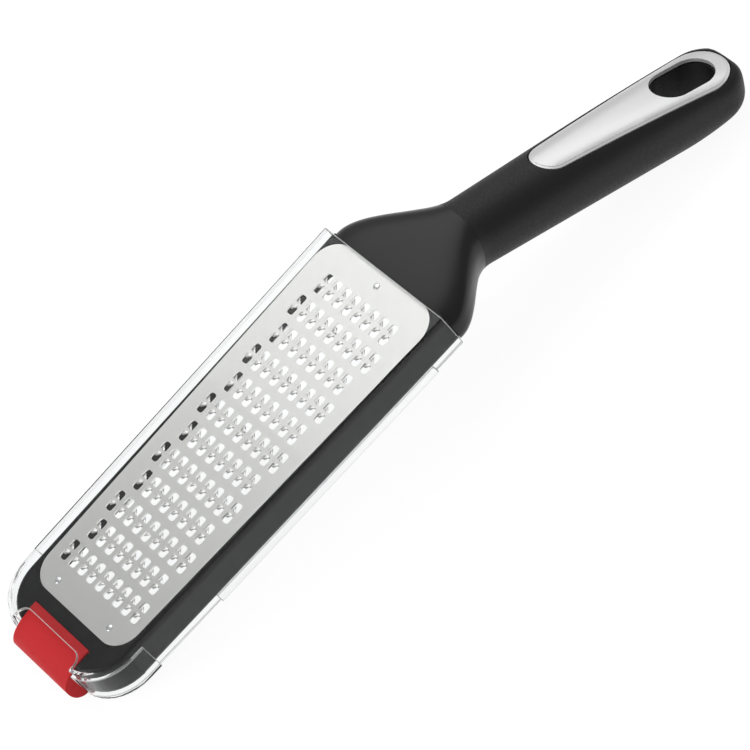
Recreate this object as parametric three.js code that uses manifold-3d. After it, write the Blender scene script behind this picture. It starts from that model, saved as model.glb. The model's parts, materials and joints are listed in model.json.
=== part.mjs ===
// Hand grater: a toothed steel plate in a plastic frame with a bent handle, a rubber foot and a clear cover.
// Millimetres. The blade is drawn flat, X towards the handle and Z out of the teeth, with its origin at the
// middle of the plate's top face. The whole tool is then tilted onto its foot and its handle's end, +Z up.
import * as THREE from "three";
import { mergeGeometries, mergeVertices } from "three/addons/utils/BufferGeometryUtils.js";
import Module from "manifold-3d";

const wasm = await Module();
wasm.setup();

// Fits
const seatGap = 0.3; // between pieces that are fixed together
const slideGap = 0.4; // between the frame and the cover that slides along it

// Grating plate
const plateLength = 146.6;
const plateFrontWidth = 52.6;
const plateRearWidth = 60.4;
const plateThickness = 0.6;
const plateCorner = 9.5;

// Teeth: pairs of rows, every other pair one hole shorter and half a pitch over
const toothMargin = 11.5; // plate left plain at both ends, at least
const pairPitch = 10.7;
const rowGap = 4.8;
const holesPerRow = 9;
const holePitch = 5.2;
const holeLength = 3.0;
const holeWidth = 3.6;
const holeRound = 1.26; // corners cut off at the hole's outer end
const toothHeight = 1.1;
const toothWidth = 2.2;
const toothRoot = 0.8; // stretch of plate that the tooth rises from
const toothReach = 1.5; // how far its tip leans over the hole

// Rivets that hold the plate
const rivetInset = 4.6; // from the plate's front and rear edges
const frontRivetSpacing = 30.8;
const rivetHead = 2.6;
const rivetHeadHeight = 0.5;
const rivetShank = 1.5;
const rivetDepth = 4;

// Frame
const frameDepth = 11.6;
const frameWall = 2; // side walls under the plate's seat
const frameNose = 12.7; // frame ahead of the plate
const frameFrontWidth = 58;
const frameRearWidth = 62.6;
const frameCorner = 15;
const sideLedge = 2.4; // the plate's seat along the sides
const ledgeThickness = 2.2;
const endLedge = 8; // the plate's seat at both ends
const windowCorner = 5;

// Shoulder and handle: sections are superellipses about a line that bends down behind the plate
const shoulderLength = 31;
const shoulderOverlap = 2; // frame's ring sunk in the shoulder
const shoulderDepth = 15.5;
const shoulderExponent = 3.4;
const shoulderRise = 1.3; // shoulder's top above the plate, at its start
const lineDepth = 6; // handle's line below the plate, at the shoulder
const handleBend = THREE.MathUtils.degToRad(22.4);
const bendStart = 1; // behind the plate
const bendSpan = 22; // along the blade
const handleLength = 128.5; // from the middle of the bend to the end
const neckWidth = 25;
const neckRise = 9.7; // handle's line to its top, at the neck
const neckDrop = 12.4; // handle's line to its underside, at the neck
const tailWidth = 28.6;
const tailRise = 8.2;
const gripArch = 1.75; // extra rise of the grip's top at its middle
const tailDrop = 13.8;
const handleExponent = 2.2;
const tailTopExponent = 4.4; // the top grows flat towards the end
const endRound = 13; // length of the rounded end
const topRound = 4; // length over which its top drops
const heelRound = 30; // length over which its underside rises
const endBlunt = 0.12; // share of the section left at the very end
const seamBack = 27; // seam between frame and grip, behind the plate

// Tang: the frame's core inside the grip
const tangWidth = 12;
const tangThickness = 9;
const tangLength = 60;
const tangRoot = 6; // stretch of the tang sunk in the shoulder

// Handle inlay and the hole to hang the tool by
const inlayThickness = 1.4;
const inlayTail = 3.4; // from the handle's end to the inlay
const inlayLength = 77.8;
const inlayTailRadius = 11.4;
const inlayTipRadius = 7.4;
const hangHoleWidth = 14.4;
const hangHoleLength = 22.6;
const hangHoleBack = 20.2; // from the handle's end to the hole's middle
const inlayCollar = 0.6; // the inlay's hole is this much wider all round

// Foot
const footWidth = 32;
const footLip = 7.7; // lip over the frame's nose
const footLipRise = 0.5;
const footSeatDepth = 1.2;
const footNose = 6.8; // rubber ahead of the frame
const footPad = 2.6; // rubber under the frame
const footUnder = 9; // reach of the pad under the frame
const footLipFlat = 3.85; // flat stretch of the lip
const footNoseHigh = 4.56; // the nose's foremost point below the plate
const footNoseRound = 1.7;
const footNoseBulge = 0.7;
const footHeel = 3.4; // from the nose to the pad

// Cover
const coverWall = 1.2;
const coverHeadroom = 1.5; // plate to the inside of the cover's top
const coverRail = 2.4; // rails that hook under the frame
const railFront = 35; // rails' ends, from the plate's front edge
const railRear = 12; // and from its rear edge
const restGap = 0.5; // cover above the surface that the tool rests on
const notchBack = 4.5; // from the frame's front to the notch's straight edge
const notchGap = 1;
const capLength = 20; // thicker front caps
const capStep = 1;

const ringPoints = 32;
const arcSegments = 6;

// Places that follow from the sizes
const plateFront = -plateLength / 2;
const plateRear = plateLength / 2;
const frameFront = plateFront - frameNose;
const frameRear = plateRear + shoulderOverlap;
const pairCount = 1 + Math.floor((plateLength - 2 * toothMargin - rowGap) / pairPitch);
const holeRowsHalf = ((pairCount - 1) * pairPitch + rowGap) / 2;

function solid(geometry) {
  const bare = geometry.clone();
  bare.deleteAttribute("normal");
  bare.deleteAttribute("uv");
  const merged = mergeVertices(bare, 1e-4);
  const vertProperties = new Float32Array(merged.attributes.position.array);
  const triVerts = new Uint32Array(merged.index.array);
  return new wasm.Manifold(new wasm.Mesh({ numProp: 3, vertProperties, triVerts }));
}

function geometryOf(body) {
  const { vertProperties, triVerts } = body.getMesh();
  const geometry = new THREE.BufferGeometry();
  geometry.setAttribute("position", new THREE.BufferAttribute(vertProperties, 3));
  geometry.setIndex(new THREE.BufferAttribute(triVerts, 1));
  geometry.computeVertexNormals();
  return geometry;
}

function box(x0, x1, y0, y1, z0, z1) {
  const geometry = new THREE.BoxGeometry(x1 - x0, y1 - y0, z1 - z0);
  return solid(geometry.translate((x0 + x1) / 2, (y0 + y1) / 2, (z0 + z1) / 2));
}

function slab(shape, zLow, zHigh) {
  const geometry = new THREE.ExtrudeGeometry(shape, {
    depth: zHigh - zLow,
    bevelEnabled: false,
    curveSegments: arcSegments,
  });
  return geometry.translate(0, 0, zLow);
}

function rod(radius, zLow, zHigh, x, y, sides = 16) {
  const geometry = new THREE.CylinderGeometry(radius, radius, zHigh - zLow, sides);
  geometry.rotateX(Math.PI / 2);
  return solid(geometry.translate(x, y, (zLow + zHigh) / 2));
}

// A tapered outline with round corners, symmetric about the X axis
function taperedOutline(front, rear, frontHalf, rearHalf, frontCorner, rearCorner) {
  const lean = Math.atan2(rearHalf - frontHalf, rear - front);
  const shape = new THREE.Shape();
  const frontX = front + frontCorner;
  const frontY = frontHalf + Math.tan(lean) * frontCorner - frontCorner / Math.cos(lean);
  const rearX = rear - rearCorner;
  const rearY = rearHalf - Math.tan(lean) * rearCorner - rearCorner / Math.cos(lean);
  const quarter = Math.PI / 2;
  shape.absarc(frontX, -frontY, frontCorner, -2 * quarter, -quarter + lean * -1, false);
  shape.absarc(rearX, -rearY, rearCorner, -quarter - lean, 0, false);
  shape.absarc(rearX, rearY, rearCorner, 0, quarter + lean, false);
  shape.absarc(frontX, frontY, frontCorner, quarter + lean, 2 * quarter, false);
  shape.closePath();
  return shape;
}

function plateOutline(grow) {
  return taperedOutline(plateFront - grow, plateRear + grow, plateFrontWidth / 2 + grow,
    plateRearWidth / 2 + grow, plateCorner + grow, plateCorner + grow);
}

function frameOutline(grow, rear = frameRear) {
  const slope = (frameRearWidth - frameFrontWidth) / 2 / (frameRear - frameFront);
  const rearHalf = frameRearWidth / 2 + slope * (rear - frameRear) + grow;
  const squareRear = 0.5;
  return taperedOutline(frameFront - grow, rear, frameFrontWidth / 2 + grow, rearHalf,
    frameCorner + grow, squareRear);
}

function windowOutline(grow) {
  return taperedOutline(plateFront + endLedge - grow, plateRear - endLedge + grow,
    plateFrontWidth / 2 - sideLedge + grow, plateRearWidth / 2 - sideLedge + grow,
    windowCorner + grow, windowCorner + grow);
}

// The grating plate and its teeth

function holeOutline(x, y, outward) {
  const half = holeWidth / 2;
  const inner = x - outward * holeLength / 2;
  const tip = x + outward * holeLength / 2;
  const shape = new THREE.Shape();
  shape.moveTo(inner, y - half);
  shape.lineTo(inner, y + half);
  shape.lineTo(tip - outward * holeRound, y + half);
  shape.lineTo(tip, y + half - holeRound);
  shape.lineTo(tip, y - half + holeRound);
  shape.lineTo(tip - outward * holeRound, y - half);
  return shape;
}

function toothGeometry(x, y, outward) {
  const inner = x - outward * holeLength / 2;
  const root = inner - outward * toothRoot;
  const low = -plateThickness / 2;
  const half = toothWidth / 2;
  const tip = [inner + outward * toothReach, y, toothHeight];
  const near = [[root, y - half, low], [inner, y - half, low]];
  const far = [[inner, y + half, low], [root, y + half, low]];
  const faces = [[0, 2, 1], [0, 3, 2], [0, 1, 4], [1, 2, 4], [2, 3, 4], [3, 0, 4]];
  const geometry = new THREE.BufferGeometry();
  geometry.setAttribute("position", new THREE.Float32BufferAttribute([...near, ...far, tip].flat(), 3));
  geometry.setIndex(faces.map((face) => (outward > 0 ? face : [...face].reverse())).flat());
  return geometry;
}

function toothPlaces() {
  const places = [];
  for (let pair = 0; pair < pairCount; pair += 1) {
    const count = holesPerRow - (pair % 2);
    const frontRow = -holeRowsHalf + pair * pairPitch;
    for (let i = 0; i < count; i += 1) {
      const y = (i - (count - 1) / 2) * holePitch;
      places.push([frontRow, y, -1], [frontRow + rowGap, y, 1]);
    }
  }
  return places;
}

const rivetPlaces = {
  front_left: [plateFront + rivetInset, frontRivetSpacing / 2],
  front_right: [plateFront + rivetInset, -frontRivetSpacing / 2],
  rear: [plateRear - rivetInset, 0],
};

function graterPlate() {
  const places = toothPlaces();
  const holes = places.map((place) => slab(holeOutline(...place), -plateThickness - 1, toothHeight));
  const teeth = places.map((place) => toothGeometry(...place));
  let body = solid(slab(plateOutline(0), -plateThickness, 0));
  body = body.subtract(solid(mergeGeometries(holes))).add(solid(mergeGeometries(teeth)));
  const bore = rivetShank / 2 + seatGap;
  for (const [x, y] of Object.values(rivetPlaces)) {
    body = body.subtract(rod(bore, -plateThickness - 1, 1, x, y, 12));
  }
  return body;
}

function rivet([x, y]) {
  const underHead = 0.05;
  const head = rod(rivetHead / 2, underHead, rivetHeadHeight, x, y);
  return head.add(rod(rivetShank / 2, -rivetDepth, underHead + rivetHeadHeight / 2, x, y, 12));
}

// The handle's centre line and sections

const bendMiddle = new THREE.Vector3(plateRear + bendStart + bendSpan / 2, 0, -lineDepth);
const handleAlong = new THREE.Vector3(Math.cos(handleBend), 0, -Math.sin(handleBend));
const handleUp = new THREE.Vector3(Math.sin(handleBend), 0, Math.cos(handleBend));
const handleEnd = bendMiddle.clone().addScaledVector(handleAlong, handleLength);
const bend = new THREE.QuadraticBezierCurve3(
  new THREE.Vector3(plateRear + bendStart, 0, -lineDepth),
  bendMiddle,
  bendMiddle.clone().addScaledVector(handleAlong, bendSpan / 2),
);
const handleLine = new THREE.CurvePath();
handleLine.add(new THREE.LineCurve3(new THREE.Vector3(plateRear + slideGap, 0, -lineDepth), bend.v0));
handleLine.add(bend);
handleLine.add(new THREE.LineCurve3(bend.v2, handleEnd));
const lineLength = handleLine.getLength();

// One ring of the handle's surface at a distance along its line
function handleRing(distance) {
  const { lerp, smoothstep, clamp } = THREE.MathUtils;
  const t = clamp(distance / lineLength, 0, 1);
  const centre = handleLine.getPointAt(t);
  const along = handleLine.getTangentAt(t);
  const up = new THREE.Vector3(-along.z, 0, along.x);
  const blend = smoothstep(distance, 1, shoulderLength);
  const late = clamp((distance - shoulderLength) / (lineLength - shoulderLength), 0, 1);
  const left = lineLength - distance;
  const rounded = (length) => Math.max(Math.sqrt(1 - (1 - clamp(left / length, 0, 1)) ** 2), endBlunt);
  const startHalf = frameRearWidth / 2 + slideGap + coverWall;
  const half = lerp(startHalf, lerp(neckWidth, tailWidth, late) / 2, blend) * rounded(endRound);
  const gripRise = lerp(neckRise, tailRise, late) + gripArch * 4 * late * (1 - late);
  const rise = lerp(lineDepth + shoulderRise, gripRise, blend) * rounded(topRound);
  const gripDrop = lerp(neckDrop, tailDrop, late);
  const drop = lerp(shoulderDepth - lineDepth, gripDrop, blend) * rounded(heelRound);
  const topPower = 2 / lerp(shoulderExponent, lerp(handleExponent, tailTopExponent, late ** 2), blend);
  const lowPower = 2 / lerp(shoulderExponent, handleExponent, blend);
  const ring = [];
  for (let i = 0; i < ringPoints; i += 1) {
    const angle = (i / ringPoints) * 2 * Math.PI;
    const sine = Math.sin(angle);
    const power = sine > 0 ? topPower : lowPower;
    const across = half * Math.sign(Math.cos(angle)) * Math.abs(Math.cos(angle)) ** power;
    const height = (sine > 0 ? rise : drop) * Math.sign(sine) * Math.abs(sine) ** power;
    const point = centre.clone().addScaledVector(up, height);
    ring.push(point.setY(across));
  }
  return ring;
}

// A closed body through rings, with flat ends
function loft(rings) {
  const count = rings[0].length;
  const points = rings.flat();
  const index = [];
  for (let r = 0; r + 1 < rings.length; r += 1) {
    for (let i = 0; i < count; i += 1) {
      const a = r * count + i;
      const b = r * count + ((i + 1) % count);
      index.push(a, b, b + count, a, b + count, a + count);
    }
  }
  const last = (rings.length - 1) * count;
  for (let i = 1; i + 1 < count; i += 1) {
    index.push(0, i + 1, i, last, last + i, last + i + 1);
  }
  const geometry = new THREE.BufferGeometry().setFromPoints(points);
  geometry.setIndex(index);
  return solid(geometry);
}

function handleBody(from, to, steps) {
  const rings = [];
  for (let i = 0; i <= steps; i += 1) rings.push(handleRing(from + ((to - from) * i) / steps));
  const roundSteps = 6;
  if (to < lineLength - endRound) return loft(rings);
  const straight = rings.filter((_, i) => from + ((to - from) * i) / steps < lineLength - endRound);
  for (let i = 0; i <= roundSteps; i += 1) {
    const turn = (i / roundSteps) * (Math.PI / 2);
    straight.push(handleRing(lineLength - endRound * (1 - Math.sin(turn))));
  }
  return loft(straight);
}

// Places a body drawn on the handle's top: X along the handle from its end, Z out of it
function onHandle(body) {
  const matrix = new THREE.Matrix4().makeBasis(handleAlong, new THREE.Vector3(0, 1, 0), handleUp);
  matrix.setPosition(handleEnd);
  return body.transform(matrix.elements);
}

const handleThrough = neckRise + neckDrop + tailRise + tailDrop;

function obround(length, width) {
  const shape = new THREE.Shape();
  const half = (length - width) / 2;
  shape.absarc(-hangHoleBack - half, 0, width / 2, Math.PI / 2, -Math.PI / 2, false);
  shape.absarc(-hangHoleBack + half, 0, width / 2, -Math.PI / 2, Math.PI / 2, false);
  shape.closePath();
  return shape;
}

function hangHole(grow) {
  const shape = obround(hangHoleLength + 2 * grow, hangHoleWidth + 2 * grow);
  return onHandle(solid(slab(shape, -handleThrough, handleThrough)));
}

function inlayPrism(grow) {
  const tailX = -inlayTail - inlayTailRadius;
  const tipX = -inlayTail - inlayLength + inlayTipRadius;
  const lean = Math.asin((inlayTailRadius - inlayTipRadius) / (tailX - tipX));
  const turn = Math.PI / 2 + lean;
  const shape = new THREE.Shape();
  shape.absarc(tailX, 0, inlayTailRadius + grow, -turn, turn, false);
  shape.absarc(tipX, 0, inlayTipRadius + grow, turn, 2 * Math.PI - turn, false);
  shape.closePath();
  return onHandle(solid(slab(shape, 0, handleThrough)));
}

const gripSteps = 12;
const shoulderSteps = 12;

function lowered(body, depth) {
  return body.translate([-handleUp.x * depth, 0, -handleUp.z * depth]);
}

function handleInlay() {
  const skin = handleBody(seamBack + seatGap, lineLength, gripSteps);
  const cut = skin.intersect(inlayPrism(0)).subtract(lowered(skin, inlayThickness));
  return cut.subtract(hangHole(inlayCollar));
}

function tang(grow) {
  const start = handleLine.getPointAt(seamBack / lineLength);
  const length = tangRoot + tangLength + grow;
  const geometry = new THREE.BoxGeometry(length, tangWidth + 2 * grow, tangThickness + 2 * grow);
  geometry.translate((tangLength + grow - tangRoot) / 2, 0, 0);
  geometry.rotateY(handleBend);
  return solid(geometry.translate(start.x, start.y, start.z));
}

function handleGrip() {
  const skin = handleBody(seamBack + seatGap, lineLength, gripSteps);
  const pocket = inlayPrism(seatGap).subtract(lowered(skin, inlayThickness + seatGap));
  return skin.subtract(pocket).subtract(hangHole(0)).subtract(tang(seatGap));
}

// The frame: a ring under the plate, the shoulder behind it and the tang

function frame() {
  const ring = solid(slab(frameOutline(0), -frameDepth, 0));
  const shoulder = handleBody(0, seamBack, shoulderSteps);
  let body = ring.add(shoulder).add(tang(0));
  body = body.subtract(solid(slab(plateOutline(seatGap), -plateThickness - seatGap, toothHeight)));
  body = body.subtract(solid(slab(windowOutline(0), -frameDepth - 1, 0)));
  const ledgeLow = -plateThickness - seatGap - ledgeThickness;
  const hollow = solid(slab(frameOutline(-frameWall), -frameDepth - 1, ledgeLow));
  const half = frameRearWidth;
  const between = box(plateFront + endLedge, plateRear - endLedge, -half, half, -frameDepth - 1, ledgeLow);
  body = body.subtract(hollow.intersect(between));
  const bore = rivetShank / 2 + seatGap;
  for (const [x, y] of Object.values(rivetPlaces)) {
    body = body.subtract(rod(bore, -rivetDepth - seatGap, 0, x, y, 12));
  }
  const seatHalf = footWidth / 2 + seatGap;
  const seatRear = frameFront + footLip + seatGap;
  return body.subtract(box(frameFront - 1, seatRear, -seatHalf, seatHalf, -footSeatDepth, 1));
}

// The foot: rubber wrapped over, round and under the frame's nose. Its pad lies along the line that
// the tool rests on, from the pad's rear edge to the underside of the handle's end.

const padRear = frameFront + footUnder;
const padLow = -frameDepth - footPad;

// The steepest line from the pad's rear edge to the grip is the one that the tool rests on
function restTilt(grip) {
  const points = grip.getMesh().vertProperties;
  let steepest = 0;
  for (let i = 0; i < points.length; i += 3) {
    steepest = Math.max(steepest, Math.atan2(padLow - points[i + 2], points[i] - padRear));
  }
  return steepest;
}

const gripBody = handleGrip();
const tilt = restTilt(gripBody);

// Everything under the surface that the tool rests on, raised by a gap
function belowRest(gap) {
  const size = 2 * (plateLength + handleLength);
  const geometry = new THREE.BoxGeometry(size, size, size).translate(0, 0, -size / 2 + gap);
  return solid(geometry.rotateY(tilt).translate(padRear, 0, padLow));
}

function foot() {
  const tip = frameFront - footNose;
  const lipRear = frameFront + footLip;
  const padAt = (x) => padLow + (padRear - x) * Math.tan(tilt);
  const padFront = tip + footHeel;
  const shape = new THREE.Shape();
  shape.moveTo(lipRear, footLipRise);
  shape.lineTo(lipRear - footLipFlat, footLipRise);
  shape.quadraticCurveTo(tip + footNoseRound, 0, tip, -footNoseHigh);
  shape.quadraticCurveTo(tip - footNoseBulge, padAt(tip) + 1, padFront, padAt(padFront));
  shape.lineTo(padRear, padLow);
  shape.lineTo(padRear, -frameDepth - seatGap);
  shape.lineTo(frameFront - seatGap, -frameDepth - seatGap);
  shape.lineTo(frameFront - seatGap, -footSeatDepth + seatGap);
  shape.lineTo(lipRear, -footSeatDepth + seatGap);
  shape.closePath();
  const geometry = slab(shape, -footWidth / 2, footWidth / 2);
  return solid(geometry.rotateX(Math.PI / 2));
}

// The cover: a clear sleeve that slides off over the foot

function cover() {
  const inside = coverHeadroom;
  const top = coverHeadroom + coverWall;
  const railHigh = -frameDepth - slideGap;
  const low = railHigh - coverWall;
  const far = frameRear + shoulderLength;
  const wide = frameRearWidth;
  const notchHalf = footWidth / 2 + notchGap;
  const outer = slideGap + coverWall;
  const slice = (front, rear, zLow, zHigh) => box(front, rear, -wide, wide, zLow, zHigh);
  const front = frameFront - wide;
  const caps = solid(slab(frameOutline(outer + capStep, far), railHigh, 0))
    .intersect(slice(front, frameFront + capLength, low, top));
  let body = solid(slab(frameOutline(outer, far), low, top)).add(caps);
  body = body.subtract(solid(slab(frameOutline(slideGap, far + 1), railHigh, inside)));
  body = body.subtract(solid(slab(frameOutline(slideGap - coverRail, far + 1), low - 1, inside)));
  body = body.subtract(slice(front, plateFront + railFront, low - 1, railHigh));
  body = body.subtract(slice(plateRear - railRear, far, low - 1, railHigh));
  body = body.subtract(slice(plateRear, far + wide, low - 1, top + 1));
  body = body.subtract(box(front, frameFront + notchBack, -notchHalf, notchHalf, low - 1, top + 1));
  return body.subtract(belowRest(restGap));
}

// Finishes

function finish(color, roughness, metalness) {
  return new THREE.MeshStandardMaterial({ color, roughness, metalness });
}

const steel = () => finish(0xd6d3cf, 0.32, 1);
const hardPlastic = () => finish(0x2e2d2e, 0.5, 0);
const softPlastic = () => finish(0x272627, 0.7, 0);
const silver = () => finish(0xd2d3d5, 0.38, 0.9);
const rubber = () => finish(0xc92b30, 0.6, 0);

function clear() {
  const material = finish(0xeef2f3, 0.08, 0);
  material.transparent = true;
  material.opacity = 0.25;
  return material;
}

const grater = new THREE.Group();
const blade = new THREE.Group();
grater.add(blade);

function place(name, body, material) {
  const mesh = new THREE.Mesh(geometryOf(body), material);
  mesh.name = name;
  blade.add(mesh);
}

place("frame", frame(), hardPlastic());
place("handle_grip", gripBody, softPlastic());
place("handle_inlay", handleInlay(), silver());
place("grater_plate", graterPlate(), steel());
for (const [where, at] of Object.entries(rivetPlaces)) place(`plate_rivet_${where}`, rivet(at), steel());
place("foot", foot(), rubber());
place("cover", cover(), clear());

// Stand the tool on its pad and its handle's end, with the middle of its footprint over the origin
blade.rotation.y = -tilt;
grater.updateMatrixWorld(true);
const bounds = new THREE.Box3().setFromObject(grater, true);
grater.position.set(-(bounds.min.x + bounds.max.x) / 2, 0, -bounds.min.z);

export default grater;
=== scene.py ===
# %% [markdown]
# # A hand grater, piece by piece
# The grater has a steel plate with teeth, a black frame that carries it, a bent grip with a silver inlay,
# a rubber foot and a clear cover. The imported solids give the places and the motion. This lesson makes the
# pieces that are seen: the same sizes, with round edges, pressed teeth and finishes.

import json
import math

import bmesh
import bpy
from mathutils import Matrix, Vector


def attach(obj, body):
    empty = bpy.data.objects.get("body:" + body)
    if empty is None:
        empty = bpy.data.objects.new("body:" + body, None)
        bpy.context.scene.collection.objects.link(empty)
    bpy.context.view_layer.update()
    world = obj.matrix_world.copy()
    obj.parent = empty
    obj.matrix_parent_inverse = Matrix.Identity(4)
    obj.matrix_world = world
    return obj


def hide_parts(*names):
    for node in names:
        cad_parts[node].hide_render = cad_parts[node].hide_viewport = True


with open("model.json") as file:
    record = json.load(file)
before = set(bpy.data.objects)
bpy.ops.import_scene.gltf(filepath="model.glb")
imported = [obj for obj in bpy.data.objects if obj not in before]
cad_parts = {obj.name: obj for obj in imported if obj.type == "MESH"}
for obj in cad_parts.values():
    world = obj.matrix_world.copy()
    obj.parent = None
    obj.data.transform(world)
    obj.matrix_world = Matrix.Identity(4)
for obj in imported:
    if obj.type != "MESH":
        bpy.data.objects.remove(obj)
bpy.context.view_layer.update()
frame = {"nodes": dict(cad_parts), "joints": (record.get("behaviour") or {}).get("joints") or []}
print("nodes:", sorted(frame["nodes"]))

# %% [markdown]
# ## The blade's own axes
# The tool lies tilted, on its foot and the end of its grip. Each piece could be drawn in that tilt, but
# everything is easier to draw on a flat blade: X towards the grip, Z out of the teeth, in millimetres,
# with the origin in the middle of the plate's top face. The cover slides along the blade, so the joint's
# axis gives X, and the plate gives the origin.

# %% blade axes
MM = 0.001
plate_thickness = 0.6
slide = Vector(frame["joints"][0]["axis"]).normalized()
blade_x = -slide
blade_y = Vector((0, 1, 0))
blade_z = blade_x.cross(blade_y)
tilt = math.asin(blade_x.z)

plate_node = frame["nodes"]["grater_plate"]
plate_points = [plate_node.matrix_world @ v.co for v in plate_node.data.vertices]
along = [p.dot(blade_x) for p in plate_points]
height = [p.dot(blade_z) for p in plate_points]
plate_length = (max(along) - min(along)) / MM
blade_origin = blade_x * (min(along) + max(along)) / 2 + blade_z * (min(height) + plate_thickness * MM)
turn = Matrix((blade_x, blade_y, blade_z)).transposed().to_4x4()
blade_to_row = Matrix.Translation(blade_origin) @ turn @ Matrix.Scale(MM, 4)
print("plate length %.1f mm, blade tilt %.2f degrees" % (plate_length, math.degrees(tilt)))

# %% [markdown]
# ## Finishes
# No moulded or brushed surface is quite even. A picture of the surface could carry that, but here each
# finish is a small set of shader nodes, so that it works at any size: noise on the object's own
# coordinates moves the roughness a little, and can be pressed into the surface as a grain.

# %% a finish and its noise
noise_low, noise_high = 0.3, 0.7


def finish(name, color, roughness, metallic=0.0, shine=0.5):
    """A plain material of one colour."""
    material = bpy.data.materials.new(name)
    material.use_nodes = True
    shader = material.node_tree.nodes["Principled BSDF"]
    shader.inputs["Base Color"].default_value = (*color, 1)
    shader.inputs["Roughness"].default_value = roughness
    shader.inputs["Metallic"].default_value = metallic
    shader.inputs["Specular IOR Level"].default_value = shine
    return material


def noise(material, scale, stretch=(1, 1, 1), detail=3):
    """A noise value on the object's own coordinates."""
    nodes = material.node_tree.nodes
    links = material.node_tree.links
    place = nodes.new("ShaderNodeTexCoord")
    mapping = nodes.new("ShaderNodeMapping")
    mapping.inputs["Scale"].default_value = stretch
    texture = nodes.new("ShaderNodeTexNoise")
    texture.inputs["Scale"].default_value = scale
    texture.inputs["Detail"].default_value = detail
    links.new(place.outputs["Object"], mapping.inputs["Vector"])
    links.new(mapping.outputs["Vector"], texture.inputs["Vector"])
    return texture.outputs["Fac"]


def uneven(material, source, low, high):
    """Lets noise move the roughness between two limits. Most of the noise lies in a middle band."""
    nodes = material.node_tree.nodes
    links = material.node_tree.links
    spread = nodes.new("ShaderNodeMapRange")
    spread.inputs["From Min"].default_value = noise_low
    spread.inputs["From Max"].default_value = noise_high
    spread.inputs["To Min"].default_value = low
    spread.inputs["To Max"].default_value = high
    links.new(source, spread.inputs["Value"])
    links.new(spread.outputs["Result"], nodes["Principled BSDF"].inputs["Roughness"])


print("noise between %.1f and %.1f is spread over each finish's roughness" % (noise_low, noise_high))

# %% [markdown]
# ## Metal finishes
# The plate is brushed along the blade. Real scratches could be modelled, but noise that is stretched along
# X gives the same streaks for nothing. The rivets are smoother and brighter. The inlay is lacquer with
# metal flakes in it, so it is only partly a metal.

# %% metal finishes
brushed_along = (0.03, 1, 1)
steel = finish("brushed steel", (0.80, 0.79, 0.775), roughness=0.34, metallic=1.0)
uneven(steel, noise(steel, 2500, brushed_along), 0.30, 0.38)
rivet_steel = finish("rivet steel", (0.85, 0.85, 0.85), roughness=0.22, metallic=1.0)
uneven(rivet_steel, noise(rivet_steel, 1500), 0.18, 0.26)
silver = finish("silver lacquer", (0.90, 0.90, 0.905), roughness=0.30, metallic=0.4)
uneven(silver, noise(silver, 2500), 0.29, 0.31)
print("metal finishes:", [m.name for m in (steel, rivet_steel, silver)])

# %% [markdown]
# ## Plastic and rubber
# The frame is hard plastic with a satin face. The grip is softer, and its mould left a fine grain. Real
# pimples would take a great many faces, so a bump node only tilts the light. The foot's rubber is matt.

# %% plastic and rubber
grain_strength = 0.25
grain_depth = 0.0002


def grain(material, source):
    """Presses noise into the surface."""
    nodes = material.node_tree.nodes
    links = material.node_tree.links
    bump = nodes.new("ShaderNodeBump")
    bump.inputs["Strength"].default_value = grain_strength
    bump.inputs["Distance"].default_value = grain_depth
    links.new(source, bump.inputs["Height"])
    links.new(bump.outputs["Normal"], nodes["Principled BSDF"].inputs["Normal"])


hard_plastic = finish("hard black plastic", (0.011, 0.0105, 0.0105), roughness=0.3, shine=0.33)
uneven(hard_plastic, noise(hard_plastic, 700), 0.295, 0.315)
soft_plastic = finish("soft black plastic", (0.009, 0.0085, 0.0085), roughness=0.55, shine=0.4)
soft_noise = noise(soft_plastic, 1600, detail=2)
uneven(soft_plastic, soft_noise, 0.45, 0.62)
grain(soft_plastic, soft_noise)
red_rubber = finish("red rubber", (0.82, 0.030, 0.036), roughness=0.55, shine=0.25)
uneven(red_rubber, noise(red_rubber, 600), 0.48, 0.62)
print("plastic and rubber:", [m.name for m in (hard_plastic, soft_plastic, red_rubber)])

# %% [markdown]
# ## Clear plastic
# Light goes through the cover. A mix with a see-through shader would do, but transmission also bends the
# light, as a real shell does. The bending is kept low: light that bends more bounces about in the thin
# wall until it is lost, which leaves black lines. The cut edges are cloudy and catch the light.

# %% clear plastic
cover_bending = 1.2
edge_clearness = 0.4


def see_through(material, share):
    """Lets a share of the light through."""
    shader = material.node_tree.nodes["Principled BSDF"]
    shader.inputs["Transmission Weight"].default_value = share
    shader.inputs["IOR"].default_value = cover_bending


clear = finish("clear plastic", (0.97, 0.98, 0.98), roughness=0.02, shine=1)
see_through(clear, 1)
uneven(clear, noise(clear, 300), 0.01, 0.03)
clear_edge = finish("clear plastic edge", (0.86, 0.88, 0.88), roughness=0.3, shine=1)
see_through(clear_edge, edge_clearness)
uneven(clear_edge, noise(clear_edge, 300), 0.25, 0.35)
print("clear finishes:", [m.name for m in (clear, clear_edge)])

# %% [markdown]
# ## The steel plate
# A real plate is punched: each stroke cuts a small hole and lifts a petal of steel beside it. The holes
# lie in pairs of rows, back to back, and every other pair is one hole shorter. Cutting the holes with a
# boolean would be slow and untidy, so the sheet is drawn as an outline with a loop for every hole, filled
# in one go and given its thickness.

# %% plate outline
plate_front = -plate_length / 2
plate_rear = plate_length / 2
plate_front_half = 26.3
plate_rear_half = 30.2
plate_corner = 9.5
quarter = math.pi / 2


def arc(x, y, radius, start, end, steps):
    """Points on an arc, both ends included."""
    angles = [start + (end - start) * i / steps for i in range(steps + 1)]
    return [(x + radius * math.cos(a), y + radius * math.sin(a)) for a in angles]


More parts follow.
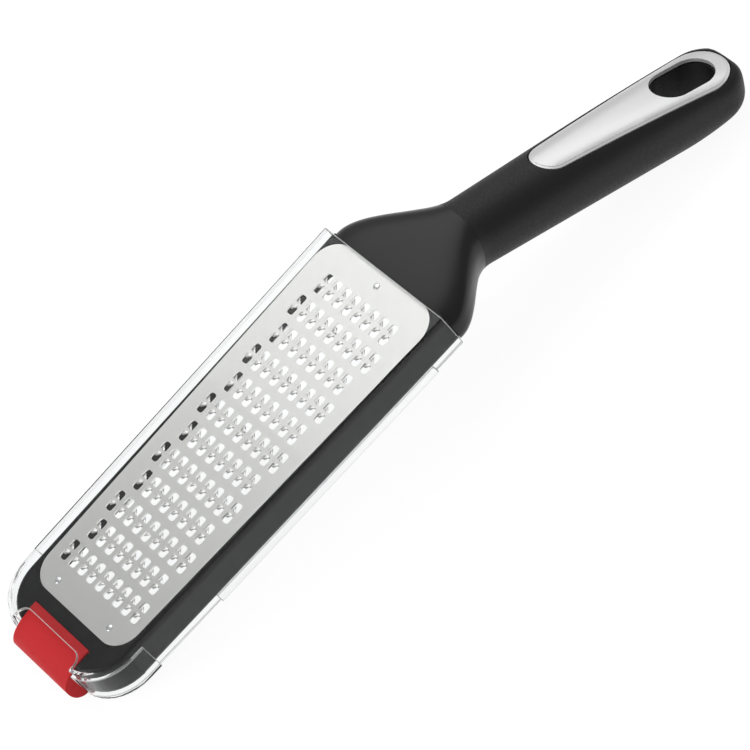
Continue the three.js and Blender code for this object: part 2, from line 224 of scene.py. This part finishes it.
def tapered(front, rear, front_half, rear_half, front_corner, rear_corner, steps=10):
    """An outline with straight sides that lean apart towards the grip, and round corners."""
    lean = math.atan2(rear_half - front_half, rear - front)
    front_x = front + front_corner
    rear_x = rear - rear_corner
    front_y = front_half + math.tan(lean) * front_corner - front_corner / math.cos(lean)
    rear_y = rear_half - math.tan(lean) * rear_corner - rear_corner / math.cos(lean)
    points = arc(front_x, -front_y, front_corner, -2 * quarter, -quarter - lean, steps)
    points += arc(rear_x, -rear_y, rear_corner, -quarter - lean, 0, steps)
    points += arc(rear_x, rear_y, rear_corner, 0, quarter + lean, steps)
    points += arc(front_x, front_y, front_corner, quarter + lean, 2 * quarter, steps)
    return points


plate_outline = tapered(plate_front, plate_rear, plate_front_half, plate_rear_half,
                        plate_corner, plate_corner)
print("plate outline: %d points" % len(plate_outline))

# %% holes
pair_count = 12
pair_pitch = 10.7
row_gap = 4.8
hole_pitch = 5.2
holes_per_row = 9
hole_length = 3.0
hole_half = 1.7
hole_corner = 0.9


def hole_places():
    """The middle of each hole, and the way that it faces: -1 to the foot, 1 to the grip."""
    first = -((pair_count - 1) * pair_pitch + row_gap) / 2
    for pair in range(pair_count):
        count = holes_per_row - pair % 2
        for i in range(count):
            y = (i - (count - 1) / 2) * hole_pitch
            yield first + pair * pair_pitch, y, -1
            yield first + pair * pair_pitch + row_gap, y, 1


def hole_loop(x, y, outward):
    """A hole with a straight inner side and round outer corners."""
    inner = x - outward * hole_length / 2
    corner_x = hole_length - hole_corner
    corner_y = hole_half - hole_corner
    end = arc(corner_x, -corner_y, hole_corner, -quarter, 0, steps=3)
    end += arc(corner_x, corner_y, hole_corner, 0, quarter, steps=3)
    side = [(0, -hole_half)] + end + [(0, hole_half)]
    return [(inner + outward * a, y + b) for a, b in side]


print("holes: %d" % len(list(hole_places())))

# %% sheet


def add_loop(bm, points):
    """A closed line of edges at the height of the plate's top."""
    verts = [bm.verts.new((x, y, 0)) for x, y in points]
    return [bm.edges.new((a, b)) for a, b in zip(verts, verts[1:] + verts[:1])]


sheet = bmesh.new()
loops = add_loop(sheet, plate_outline)
for place in hole_places():
    loops += add_loop(sheet, hole_loop(*place))
bmesh.ops.triangle_fill(sheet, use_beauty=True, use_dissolve=False, edges=loops, normal=(0, 0, 1))
lowered = bmesh.ops.extrude_face_region(sheet, geom=sheet.faces[:])["geom"]
lowered = [v for v in lowered if isinstance(v, bmesh.types.BMVert)]
bmesh.ops.translate(sheet, verts=lowered, vec=(0, 0, -plate_thickness))
print("sheet: %d faces" % len(sheet.faces))

# %% [markdown]
# ## The teeth
# The punch lifts a petal at each hole's inner side. It is narrow at the tip and curls over the hole. A
# petal could be modelled by hand and copied, but half of them face the other way. So one function bends
# a small grid, which keeps it light, at every hole and the way that the hole faces.

# %% petals
petal_height = 1.05
petal_half = 0.9
petal_root = 0.5
petal_reach = 1.3
petal_sheet = 0.35
petal_taper = 0.75
petal_taper_power = 1.6
petal_curl = 1.3
petal_crown = 0.45
petal_sink = 0.1


def petal(x, y, outward):
    """A tongue that rises from the hole's inner side and leans over the hole."""
    bm = bmesh.new()
    bmesh.ops.create_grid(bm, x_segments=4, y_segments=4, size=1)
    inner = x - outward * hole_length / 2
    for v in bm.verts:
        rise = (v.co.x + 1) / 2
        side = v.co.y
        narrow = 1 - petal_taper * rise ** petal_taper_power
        crown = 1 - petal_crown * side ** 2
        v.co.x = inner + outward * (-petal_root + rise * (petal_root + petal_reach))
        v.co.y = y + side * petal_half * narrow
        v.co.z = petal_height * rise ** petal_curl * crown - petal_sink
    bmesh.ops.recalc_face_normals(bm, faces=bm.faces[:])
    bmesh.ops.solidify(bm, geom=bm.faces[:], thickness=petal_sheet)
    return bm


def added(target, extra):
    """One bmesh put into another."""
    mesh = bpy.data.meshes.new("extra")
    extra.to_mesh(mesh)
    extra.free()
    target.from_mesh(mesh)
    bpy.data.meshes.remove(mesh)


for place in hole_places():
    added(sheet, petal(*place))
print("sheet with petals: %d faces" % len(sheet.faces))

# %% [markdown]
# ## Setting a piece in place
# Every piece ends in the same way. Its faces are shaded smooth, so that few faces look round, but wide
# flat faces and sharp edges stay as they are: smooth shading would bend the light on them. Then the piece
# is turned from the blade's axes into its place, put under its body, and the solids it stands for are
# hidden.

# %% finished pieces
same_point = 1e-3
largest_curved = 150
crease = math.radians(35)


def as_object(bm, name="stock", materials=()):
    """An object in the scene with the bmesh's shape. The bmesh is used up."""
    mesh = bpy.data.meshes.new(name)
    for material in materials:
        mesh.materials.append(material)
    bm.to_mesh(mesh)
    bm.free()
    made = bpy.data.objects.new(name, mesh)
    bpy.context.collection.objects.link(made)
    return made


def finished(name, bm, body, nodes, slot, *materials):
    """Shades a piece drawn on the blade, puts it into its place under its body and hides the solids that it
    stands for.
    """
    bmesh.ops.remove_doubles(bm, verts=bm.verts[:], dist=same_point)
    bmesh.ops.recalc_face_normals(bm, faces=bm.faces[:])
    for face in bm.faces:
        face.smooth = face.calc_area() < largest_curved
    for edge in bm.edges:
        edge.smooth = edge.is_manifold and edge.calc_face_angle(0) < crease
    bm.transform(blade_to_row)
    made = as_object(bm, name, materials)
    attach(made, body)
    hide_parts(*nodes)
    print("%s: %d faces" % (name, len(made.data.polygons)))


finished("steel_plate", sheet, "grater", ["grater_plate"], "steel", steel)

# %% [markdown]
# ## Three rivets
# Two small rivets hold the plate at the front and one at the rear. Their heads are low domes. A dome could
# be turned from a profile, but a flattened ball, half sunk in the plate, looks the same.

# %% rivets
rivet_inset = 4.6
rivet_spacing = 30.8
rivet_radius = 1.3
rivet_height = 0.3
rivet_places = {
    "plate_rivet_front_left": (plate_front + rivet_inset, rivet_spacing / 2),
    "plate_rivet_front_right": (plate_front + rivet_inset, -rivet_spacing / 2),
    "plate_rivet_rear": (plate_rear - rivet_inset, 0),
}
for node, (x, y) in rivet_places.items():
    dome = bmesh.new()
    bmesh.ops.create_uvsphere(dome, u_segments=24, v_segments=12, radius=rivet_radius)
    bmesh.ops.scale(dome, verts=dome.verts[:], vec=(1, 1, rivet_height / rivet_radius))
    bmesh.ops.translate(dome, verts=dome.verts[:], vec=(x, y, 0))
    finished(node.replace("plate_", ""), dome, "grater", [node], "rivet_steel", rivet_steel)

# %% [markdown]
# ## The line of the grip
# The shoulder and the grip follow one line. It leaves the plate straight, bends down and runs straight to
# the end. A curve object could carry it, but the places on it are needed for the sections, so it is
# worked out as points: two straight stretches with a quadratic curve between.

# %% line of the grip
slide_gap = 0.4
line_depth = 6
grip_bend = math.radians(22.4)
bend_start = 1
bend_span = 22
bend_steps = 60
grip_length = 128.5

grip_along = Vector((math.cos(grip_bend), 0, -math.sin(grip_bend)))
grip_up = Vector((math.sin(grip_bend), 0, math.cos(grip_bend)))
bend_from = Vector((plate_rear + bend_start, 0, -line_depth))
bend_middle = Vector((plate_rear + bend_start + bend_span / 2, 0, -line_depth))
bend_to = bend_middle + grip_along * bend_span / 2
grip_end = bend_middle + grip_along * grip_length


def mix(a, b, t):
    return a + (b - a) * t


def pulled(a, b, c, t):
    """A point on the quadratic curve from a to c that is pulled towards b."""
    return mix(mix(a, b, t), mix(b, c, t), t)


line = [Vector((plate_rear + slide_gap, 0, -line_depth))]
line += [pulled(bend_from, bend_middle, bend_to, i / bend_steps) for i in range(bend_steps + 1)]
line += [grip_end]
lengths = [0]
for a, b in zip(line, line[1:]):
    lengths.append(lengths[-1] + (b - a).length)
line_length = lengths[-1]


def on_line(distance):
    """The point on the line at a distance, and the direction there."""
    last = len(line) - 2
    i = next((k for k in range(last + 1) if lengths[k + 1] >= distance), last)
    step = line[i + 1] - line[i]
    return line[i] + step * (distance - lengths[i]) / step.length, step.normalized()


print("line of shoulder and grip: %.1f mm" % line_length)

# %% [markdown]
# ## Sections of the shoulder and the grip
# Across the line, each section is a superellipse, a shape between an oval and a rectangle. At the shoulder
# it is wide and boxy, at the neck almost oval, and its top grows flatter towards the end, where the inlay
# lies. Sculpting would give such a body too, but sections keep to the sizes.

# %% section sizes
cover_wall = 1.2
frame_rear_half = 31.3
shoulder_lead = 1
shoulder_length = 31
shoulder_depth = 15.5
shoulder_power = 3.4
shoulder_rise = 1.3
neck_half, neck_rise, neck_drop = 12.5, 9.7, 12.4
tail_half, tail_rise, tail_drop = 14.3, 8.2, 13.65
grip_arch = 1.75
grip_power = 2.2
tail_top_power = 4.4
end_round = 11.5
end_top_round = 4
heel_round = 30
end_blunt = 0.12


def clamp(value):
    return min(max(value, 0), 1)


def eased(t):
    """A share from 0 to 1 that starts and stops gently."""
    return t * t * (3 - 2 * t)


def bulge(t):
    """A share that is 0 at both ends and 1 in the middle."""
    return 4 * t * (1 - t)


def rounded(distance, length):
    """How much of a size is left near the grip's end, if it rounds off over that length."""
    left = clamp((line_length - distance) / length)
    return max(math.sqrt(1 - (1 - left) ** 2), end_blunt)


def section_sizes(distance):
    """Half width, rise over the line, drop under it, and the powers of the upper and lower half."""
    ease = eased(clamp((distance - shoulder_lead) / (shoulder_length - shoulder_lead)))
    late = clamp((distance - shoulder_length) / (line_length - shoulder_length))
    start_half = frame_rear_half + slide_gap + cover_wall
    half = mix(start_half, mix(neck_half, tail_half, late), ease)
    grip_rise = mix(neck_rise, tail_rise, late) + grip_arch * bulge(late)
    rise = mix(line_depth + shoulder_rise, grip_rise, ease)
    drop = mix(shoulder_depth - line_depth, mix(neck_drop, tail_drop, late), ease)
    top_power = mix(shoulder_power, mix(grip_power, tail_top_power, late ** 2), ease)
    low_power = mix(shoulder_power, grip_power, ease)
    half *= rounded(distance, end_round)
    rise *= rounded(distance, end_top_round)
    drop *= rounded(distance, heel_round)
    return half, rise, drop, top_power, low_power


print("half width, rise and drop at the neck: %.1f, %.1f, %.1f mm" % section_sizes(shoulder_length)[:3])

# %% skin through the sections
ring_points = 72


def section(distance):
    """One ring of the shoulder and grip, with its points at even angles."""
    centre, heading = on_line(distance)
    up = Vector((-heading.z, 0, heading.x))
    half, rise, drop, top_power, low_power = section_sizes(distance)
    ring = []
    for i in range(ring_points):
        angle = 2 * math.pi * i / ring_points
        c, s = math.cos(angle), math.sin(angle)
        power = top_power if s > 0 else low_power
        reach = (abs(c) ** power + abs(s) ** power) ** (-1 / power)
        point = centre + up * (rise if s > 0 else drop) * reach * s
        point.y = half * reach * c
        ring.append(point)
    return ring


def skin(distances):
    """A closed body through sections: a ring is extruded from each to the next."""
    bm = bmesh.new()
    ring = bmesh.ops.create_circle(bm, cap_ends=True, segments=ring_points, radius=1)["verts"]
    for v, co in zip(ring, section(distances[0])):
        v.co = co
    edges = bm.edges[:]
    for distance in distances[1:]:
        made = bmesh.ops.extrude_edge_only(bm, edges=edges)["geom"]
        edges = [e for e in made if isinstance(e, bmesh.types.BMEdge)]
        verts = [v for v in made if isinstance(v, bmesh.types.BMVert)]
        for v, co in zip(verts, section(distance)):
            v.co = co
    bmesh.ops.contextual_create(bm, geom=edges)
    bmesh.ops.recalc_face_normals(bm, faces=bm.faces[:])
    return bm


def spread_out(start, end, count):
    """Even steps from start to end, both included."""
    return [mix(start, end, i / count) for i in range(count + 1)]


seam_back = 27
shoulder_rings = 40
shoulder = as_object(skin(spread_out(0, seam_back, shoulder_rings)))
print("shoulder: %d faces" % len(shoulder.data.polygons))

# %% [markdown]
# ## The frame
# The real frame is moulded in one with the shoulder: a ring with round outer edges, a step that the plate
# sits in, a window under the teeth, a hollow below it and a seat for the foot's lip. It could be built up
# face by face. It is worked like solid stock instead, because each of those is then one cut: a prism is an
# outline pushed straight up, a boolean modifier joins or cuts, and the result is kept as a new mesh.

# %% frame ring
frame_front_half = 29
frame_depth = 11.6
frame_nose = 12.7
frame_corner = 15
frame_under_shoulder = 0.8
frame_top_round = 1.6
frame_bottom_round = 2.2
square_corner = 1e-4
frame_front = plate_front - frame_nose
frame_rear = plate_rear + frame_under_shoulder


def prism(outline, low, high, top_round=0, bottom_round=0, sharp_from=math.inf):
    """A closed solid over an outline in X and Y. Edges behind sharp_from aren't rounded."""
    bm = bmesh.new()
    bm.faces.new([bm.verts.new((x, y, low)) for x, y in outline])
    bmesh.ops.remove_doubles(bm, verts=bm.verts[:], dist=same_point)
    raised = bmesh.ops.extrude_face_region(bm, geom=bm.faces[:])["geom"]
    top = [v for v in raised if isinstance(v, bmesh.types.BMVert)]
    bmesh.ops.translate(bm, verts=top, vec=(0, 0, high - low))
    bmesh.ops.recalc_face_normals(bm, faces=bm.faces[:])
    for z, amount in ((high, top_round), (low, bottom_round)):
        if amount:
            rim = [e for e in bm.edges if all(abs(v.co.z - z) < same_point for v in e.verts)]
            rim = [e for e in rim if min(v.co.x for v in e.verts) < sharp_from]
            bmesh.ops.bevel(bm, geom=rim, offset=amount, offset_type="OFFSET", segments=5, profile=0.5,
                            affect="EDGES", material=-1, clamp_overlap=True)
    return bm


def frame_outline(grow, rear=frame_rear):
    """The frame's outline, grown to all sides, with its sides carried on to a rear end."""
    slope = (frame_rear_half - frame_front_half) / (frame_rear - frame_front)
    front_half = frame_front_half + grow
    rear_half = frame_rear_half + slope * (rear - frame_rear) + grow
    return tapered(frame_front - grow, rear, front_half, rear_half, frame_corner + grow, square_corner)


ring = as_object(prism(frame_outline(0), -frame_depth, 0, frame_top_round, frame_bottom_round,
                       sharp_from=plate_rear))
print("ring: %d faces" % len(ring.data.polygons))

# %% ring and shoulder in one


def worked(stock, tool, operation):
    """Stock after a tool has cut it, joined it or kept the shared part. Both are used up."""
    step = stock.modifiers.new("work", "BOOLEAN")
    step.operation = operation
    step.solver = "EXACT"
    step.object = tool
    bpy.context.view_layer.update()
    mesh = bpy.data.meshes.new_from_object(stock.evaluated_get(bpy.context.evaluated_depsgraph_get()))
    for used in (stock, tool):
        bpy.data.objects.remove(used, do_unlink=True)
    result = bpy.data.objects.new("stock", mesh)
    bpy.context.collection.objects.link(result)
    return result


ring = worked(ring, shoulder, "UNION")
print("ring and shoulder: %d faces" % len(ring.data.polygons))

# %% cuts in the frame
seat_gap = 0.3
side_ledge = 2.4
end_ledge = 8
ledge_thickness = 2.2
frame_wall = 2
window_corner = 5
hollow_corner = 3
hollow_lean = 0.3
foot_half = 16
foot_lip = 7.7
foot_seat = 1.2
overcut = 1
seat_low = -plate_thickness - seat_gap
ledge_low = seat_low - ledge_thickness
under = -frame_depth - overcut
inside_front = plate_front + end_ledge
inside_rear = plate_rear - end_ledge


def bm_of(stock):
    """The bmesh of a stock, which is used up."""
    bm = bmesh.new()
    bm.from_mesh(stock.data)
    bpy.data.objects.remove(stock, do_unlink=True)
    return bm


def rectangle(x0, x1, half):
    return [(x0, -half), (x1, -half), (x1, half), (x0, half)]


seat_corner = plate_corner + seat_gap
seat = tapered(plate_front - seat_gap, plate_rear + seat_gap, plate_front_half + seat_gap,
               plate_rear_half + seat_gap, seat_corner, seat_corner)
window = tapered(inside_front, inside_rear, plate_front_half - side_ledge, plate_rear_half - side_ledge,
                 window_corner, window_corner)
hollow = tapered(inside_front, inside_rear, frame_front_half - frame_wall + hollow_lean,
                 frame_rear_half - frame_wall - hollow_lean, hollow_corner, hollow_corner)
lip_seat = rectangle(frame_front - overcut, frame_front + foot_lip + seat_gap, foot_half + seat_gap)
frame_cuts = [
    prism(seat, seat_low, overcut),
    prism(window, under, overcut),
    prism(hollow, under, ledge_low),
    prism(lip_seat, -foot_seat, overcut),
]
for cut in frame_cuts:
    ring = worked(ring, as_object(cut), "DIFFERENCE")
finished("frame_and_shoulder", bm_of(ring), "grater", ["frame"], "frame_plastic", hard_plastic)

# %% [markdown]
# ## The grip
# The grip carries on where the shoulder ends, with a fine seam between. A long hole to hang the tool by
# goes through it, and a drop-shaped pocket in its top takes the inlay. The pocket could have a flat floor,
# but a thin inlay needs one that follows the curved top, so it is cut by a drop that has a sunken copy of
# the grip taken out of it.

# %% tools for the grip's end
inlay_tail = 3.4
inlay_length = 77.8
inlay_tail_radius = 11.4
inlay_tip_radius = 7.4
hang_hole_half = 7.2
hang_hole_length = 22.6
hang_hole_back = 20.2
through = 60


def on_grip(bm):
    """A body drawn on the grip's end, X along the grip and Z out of its top, set in place."""
    columns = Matrix((grip_along, Vector((0, 1, 0)), grip_up)).transposed().to_4x4()
    bm.transform(Matrix.Translation(grip_end) @ columns)
    return as_object(bm)


def hang_hole(grow):
    """A tool for the hanging hole, with round ends."""
    radius = hang_hole_half + grow
    half = hang_hole_length / 2 - hang_hole_half
    points = arc(-hang_hole_back + half, 0, radius, -quarter, quarter, steps=20)
    points += arc(-hang_hole_back - half, 0, radius, quarter, 3 * quarter, steps=20)
    return on_grip(prism(points, -through, through))


def drop_shape(grow):
    """The inlay's drop: a large and a small round end, joined by straight sides that touch both."""
    tail_x = -inlay_tail - inlay_tail_radius
    tip_x = -inlay_tail - inlay_length + inlay_tip_radius
    lean = math.asin((inlay_tail_radius - inlay_tip_radius) / (tail_x - tip_x))
    touch = quarter + lean
    points = arc(tail_x, 0, inlay_tail_radius + grow, -touch, touch, steps=36)
    points += arc(tip_x, 0, inlay_tip_radius + grow, touch, 4 * quarter - touch, steps=24)
    return on_grip(prism(points, 0, through))


print("inlay %.1f mm long, hanging hole %.1f mm" % (inlay_length, hang_hole_length))

# %% grip
seam_gap = 0.05
grip_rings = 60
end_rings = 14
inlay_thickness = 1.4
inlay_groove = 0.5
end_start = line_length - end_round
grip_distances = spread_out(seam_back + seam_gap, end_start, grip_rings)[:-1]
end_shares = [math.sin(quarter * i / end_rings) for i in range(end_rings + 1)]
grip_distances += [end_start + end_round * share for share in end_shares]


def grip_skin(depth=0):
    """The grip's body, sunk by a depth."""
    bm = skin(grip_distances)
    bmesh.ops.translate(bm, verts=bm.verts[:], vec=-grip_up * depth)
    return as_object(bm)


pocket = worked(drop_shape(inlay_groove), grip_skin(inlay_thickness + seat_gap), "DIFFERENCE")
grip = worked(grip_skin(), pocket, "DIFFERENCE")
grip = worked(grip, hang_hole(0), "DIFFERENCE")
finished("soft_grip", bm_of(grip), "grater", ["handle_grip"], "grip_plastic", soft_plastic)

# %% [markdown]
# ## The inlay
# The inlay is a thin silver shell, flush with the grip, with a low step round its rim. Bending a flat drop
# over the grip would leave it proud in places. It is cut from copies of the grip's own body instead, so
# that the two surfaces run on: one a little sunk for the rim, one in full for the middle.

# %% inlay
inlay_collar = 0.6
rim_step = 0.2
rim_width = 0.9

inlay = worked(grip_skin(rim_step), drop_shape(0), "INTERSECT")
inlay_top = worked(grip_skin(), drop_shape(-rim_width), "INTERSECT")
inlay = worked(inlay, inlay_top, "UNION")
inlay = worked(inlay, grip_skin(inlay_thickness), "DIFFERENCE")
inlay = worked(inlay, hang_hole(inlay_collar), "DIFFERENCE")
finished("silver_inlay", bm_of(inlay), "grater", ["handle_inlay"], "inlay_silver", silver)

# %% [markdown]
# ## The rubber foot
# The foot wraps over, round and under the frame's nose, so its side view is a hook. It could be a block
# with the nose cut out of it, but its front is a soft curve. So that side view is drawn once and pushed
# across the blade, and its ends are rounded like moulded rubber.

# %% side view of the foot
foot_lip_rise = 0.5
foot_lip_flat = 3.85
foot_nose = 6.8
foot_nose_high = 4.56
foot_nose_round = 1.7
foot_nose_bulge = 0.7
foot_tuck = 1
foot_heel = 3.4
foot_pad = 2.6
foot_under = 9
tip = frame_front - foot_nose
lip_rear = frame_front + foot_lip
lip_low = -foot_seat + seat_gap
hook_front = frame_front - seat_gap
hook_low = -frame_depth - seat_gap
pad_rear = frame_front + foot_under
pad_low = -frame_depth - foot_pad


def pad_at(x):
    """Where the resting surface is under the foot."""
    return pad_low + (pad_rear - x) * math.tan(tilt)


def curve(a, b, c, steps=10):
    """Points on the curve from a to c that is pulled towards b, without its first point."""
    shares = [i / steps for i in range(1, steps + 1)]
    return [tuple(pulled(p, q, r, t) for p, q, r in zip(a, b, c)) for t in shares]


lip_start = (lip_rear - foot_lip_flat, foot_lip_rise)
nose = (tip, -foot_nose_high)
pad_front = (tip + foot_heel, pad_at(tip + foot_heel))
side_view = [(lip_rear, foot_lip_rise), lip_start]
side_view += curve(lip_start, (tip + foot_nose_round, 0), nose)
side_view += curve(nose, (tip - foot_nose_bulge, pad_at(tip) + foot_tuck), pad_front)
side_view += [(pad_rear, pad_low), (pad_rear, hook_low), (hook_front, hook_low)]
side_view += [(hook_front, lip_low), (lip_rear, lip_low)]
print("side view of the foot: %d points" % len(side_view))

# %% foot
foot_end_round = 0.32

foot = prism(side_view, -foot_half, foot_half, foot_end_round, foot_end_round)
foot.transform(Matrix.Rotation(quarter, 4, "X"))
finished("rubber_foot", foot, "grater", ["foot"], "foot_rubber", red_rubber)

# %% [markdown]
# ## The clear cover
# The cover is a sleeve that slides on from the front. It is open at the rear and notched round the foot,
# and two rails hook under the frame. A solidify modifier would give a wall of one thickness, but the rails
# and the thicker front corners need more, so a full block is cut hollow.

# %% cover block
cover_headroom = 1.5
cover_round = 0.7
cap_length = 20
cap_step = 1
cover_top = cover_headroom + cover_wall
rail_high = -frame_depth - slide_gap
cover_low = rail_high - cover_wall
outer = slide_gap + cover_wall
far = frame_rear + shoulder_length
wide = 2 * frame_rear_half
ahead = frame_front - wide


def block(x0, x1, low, high):
    """A box that is wider than the cover."""
    return as_object(prism(rectangle(x0, x1, wide), low, high))


caps = as_object(prism(frame_outline(outer + cap_step, far), rail_high, 0))
caps = worked(caps, block(ahead, frame_front + cap_length, cover_low, cover_top), "INTERSECT")
sleeve = as_object(prism(frame_outline(outer, far), cover_low, cover_top, top_round=cover_round,
                         sharp_from=plate_rear))
sleeve = worked(sleeve, caps, "UNION")
print("cover block: %.1f mm high" % (cover_top - cover_low))

# %% cuts in the cover
cover_inner_round = 0.4
cover_rail = 2.4
rail_front = 35
rail_rear = 12
notch_back = 4.5
notch_gap = 1
notch_corner = 4
rest_gap = 0.5
past = far + overcut
below = cover_low - overcut
above = cover_top + overcut
notch_half = foot_half + notch_gap
ground_size = 4 * plate_length

notch = tapered(ahead, frame_front + notch_back, notch_half, notch_half, notch_corner, notch_corner)
inside = prism(frame_outline(slide_gap, past), rail_high, cover_headroom, top_round=cover_inner_round,
               sharp_from=plate_rear)
between_rails = prism(frame_outline(slide_gap - cover_rail, past), below, cover_headroom - overcut)
ground = prism(rectangle(-ground_size, ground_size, ground_size), -ground_size, rest_gap)
ground.transform(Matrix.Translation((pad_rear, 0, pad_low)) @ Matrix.Rotation(tilt, 4, "Y"))
cover_cuts = [
    as_object(inside),
    as_object(between_rails),
    block(ahead, plate_front + rail_front, below, rail_high),
    block(plate_rear - rail_rear, far, below, rail_high),
    block(plate_rear, far + wide, below, above),
    as_object(prism(notch, below, above)),
    as_object(ground),
]
for cut in cover_cuts:
    sleeve = worked(sleeve, cut, "DIFFERENCE")
print("hollow cover: %d faces" % len(sleeve.data.polygons))

# %% [markdown]
# ## The cover's edges
# On a clear piece it is the edges that show, because they catch the light. Lines could be drawn there, but
# they would look the same from all sides. So each sharp edge that stands out is broken by a small bevel,
# and its facets get the cloudy finish. Slivers that the cuts left are merged first, since a bevel fails
# on them.

# %% broken edges
sliver = 0.02
flat_angle = math.radians(1)
edge_angle = math.radians(50)
edge_break = 0.3

shell = bm_of(sleeve)
bmesh.ops.remove_doubles(shell, verts=shell.verts[:], dist=sliver)
bmesh.ops.dissolve_limit(shell, angle_limit=flat_angle, verts=shell.verts[:], edges=shell.edges[:])
sharp = [e for e in shell.edges if e.is_manifold and e.calc_face_angle_signed(0) > edge_angle]
broken = bmesh.ops.bevel(shell, geom=sharp, offset=edge_break, offset_type="OFFSET", segments=2,
                         profile=0.5, affect="EDGES", material=-1, clamp_overlap=False)
for facet in broken["faces"]:
    facet.material_index = 1
print("facets on the cover's edges:", len(broken["faces"]))
finished("clear_cover", shell, "cover", ["cover"], "clear_plastic", clear, clear_edge)

# %% [markdown]
# ## The floor
# The table is plain white and keeps a soft shadow. A white floor alone turns out grey where little light
# falls, so a part of it glows. It glows only for what looks at it directly, in a mirror or through the
# cover, so that it doesn't light the tool from below. The floor and the lamps are in metres.

# %% floor
floor_size = 3.0
floor_white = 0.9
floor_roughness = 0.9
glow_strength = 1.15
glow_share = 0.8

floor_paint = finish("floor", (floor_white, floor_white, floor_white), floor_roughness)
tree = floor_paint.node_tree
paint = tree.nodes["Principled BSDF"]
glow = tree.nodes.new("ShaderNodeEmission")
glow.inputs["Strength"].default_value = glow_strength
path = tree.nodes.new("ShaderNodeLightPath")
seen = path.outputs["Is Camera Ray"]
for kind in ("Is Transmission Ray", "Is Glossy Ray"):
    either = tree.nodes.new("ShaderNodeMath")
    either.operation = "ADD"
    either.use_clamp = True
    tree.links.new(seen, either.inputs[0])
    tree.links.new(path.outputs[kind], either.inputs[1])
    seen = either.outputs["Value"]
part = tree.nodes.new("ShaderNodeMath")
part.operation = "MULTIPLY"
part.inputs[1].default_value = glow_share
blend = tree.nodes.new("ShaderNodeMixShader")
tree.links.new(seen, part.inputs[0])
tree.links.new(part.outputs["Value"], blend.inputs["Fac"])
tree.links.new(paint.outputs["BSDF"], blend.inputs[1])
tree.links.new(glow.outputs["Emission"], blend.inputs[2])
tree.links.new(blend.outputs["Shader"], tree.nodes["Material Output"].inputs["Surface"])

floor_bm = bmesh.new()
bmesh.ops.create_grid(floor_bm, x_segments=1, y_segments=1, size=floor_size)
floor = as_object(floor_bm, "floor", [floor_paint])
print("floor: %.1f m to each side" % floor_size)

# %% [markdown]
# ## Light
# A studio has bright walls and large lamps. The walls are the world's even white. One large lamp hangs
# over the far side, where the steel mirrors it, and a small one fills in from the left. A sun lamp would
# be simpler, but steel looks dark unless it has something broad to mirror.

# %% light
wall_strength = 0.4
world = bpy.data.worlds.new("studio")
bpy.context.scene.world = world
world.use_nodes = True
walls = world.node_tree.nodes["Background"]
walls.inputs["Color"].default_value = (1, 1, 1, 1)
walls.inputs["Strength"].default_value = wall_strength


def area_light(name, place, target, width, depth, power):
    """A lamp with a broad face, turned to a target."""
    lamp = bpy.data.lights.new(name, "AREA")
    lamp.shape = "RECTANGLE"
    lamp.size = width
    lamp.size_y = depth
    lamp.energy = power
    made = bpy.data.objects.new(name, lamp)
    bpy.context.collection.objects.link(made)
    made.location = place
    made.rotation_euler = (Vector(target) - Vector(place)).to_track_quat("-Z", "Y").to_euler()
    print("%s: %.1f W" % (name, power))


area_light("overhead", place=(0.6, 0.95, 1.0), target=(0.6, 0.95, 0), width=1.5, depth=1.2, power=7)
area_light("left_fill", place=(-0.9, 0.3, 0.7), target=(0, 0, 0), width=0.7, depth=0.7, power=2.5)

# %% [markdown]
# ## Camera
# The camera stands far off with a long lens, as a catalogue photographer would have it. It could be aimed
# at a target by a constraint, but its place and its two directions were measured on the blade, where the
# rows of teeth make a good grid, so they are used as they are.

# %% camera
camera_place = Vector((-64.15, -1102.88, 1143.92))
camera_forward = Vector((0.070143, 0.683925, -0.726173))
camera_right = Vector((0.676136, -0.567827, -0.469482))
camera_lens = 240
camera_sensor = 36
camera_range = 20

forward = (turn.to_3x3() @ camera_forward).normalized()
right = (turn.to_3x3() @ camera_right).normalized()
lens = bpy.data.cameras.new("camera")
lens.lens = camera_lens
lens.sensor_width = camera_sensor
lens.clip_end = camera_range
camera = bpy.data.objects.new("camera", lens)
bpy.context.collection.objects.link(camera)
pose = Matrix((right, right.cross(forward), -forward)).transposed().to_4x4()
camera.matrix_world = Matrix.Translation(blade_to_row @ camera_place) @ pose
bpy.context.scene.camera = camera
bpy.context.scene.view_settings.view_transform = "Standard"
print("camera: %.2f m from the plate" % (camera_place.length * MM))
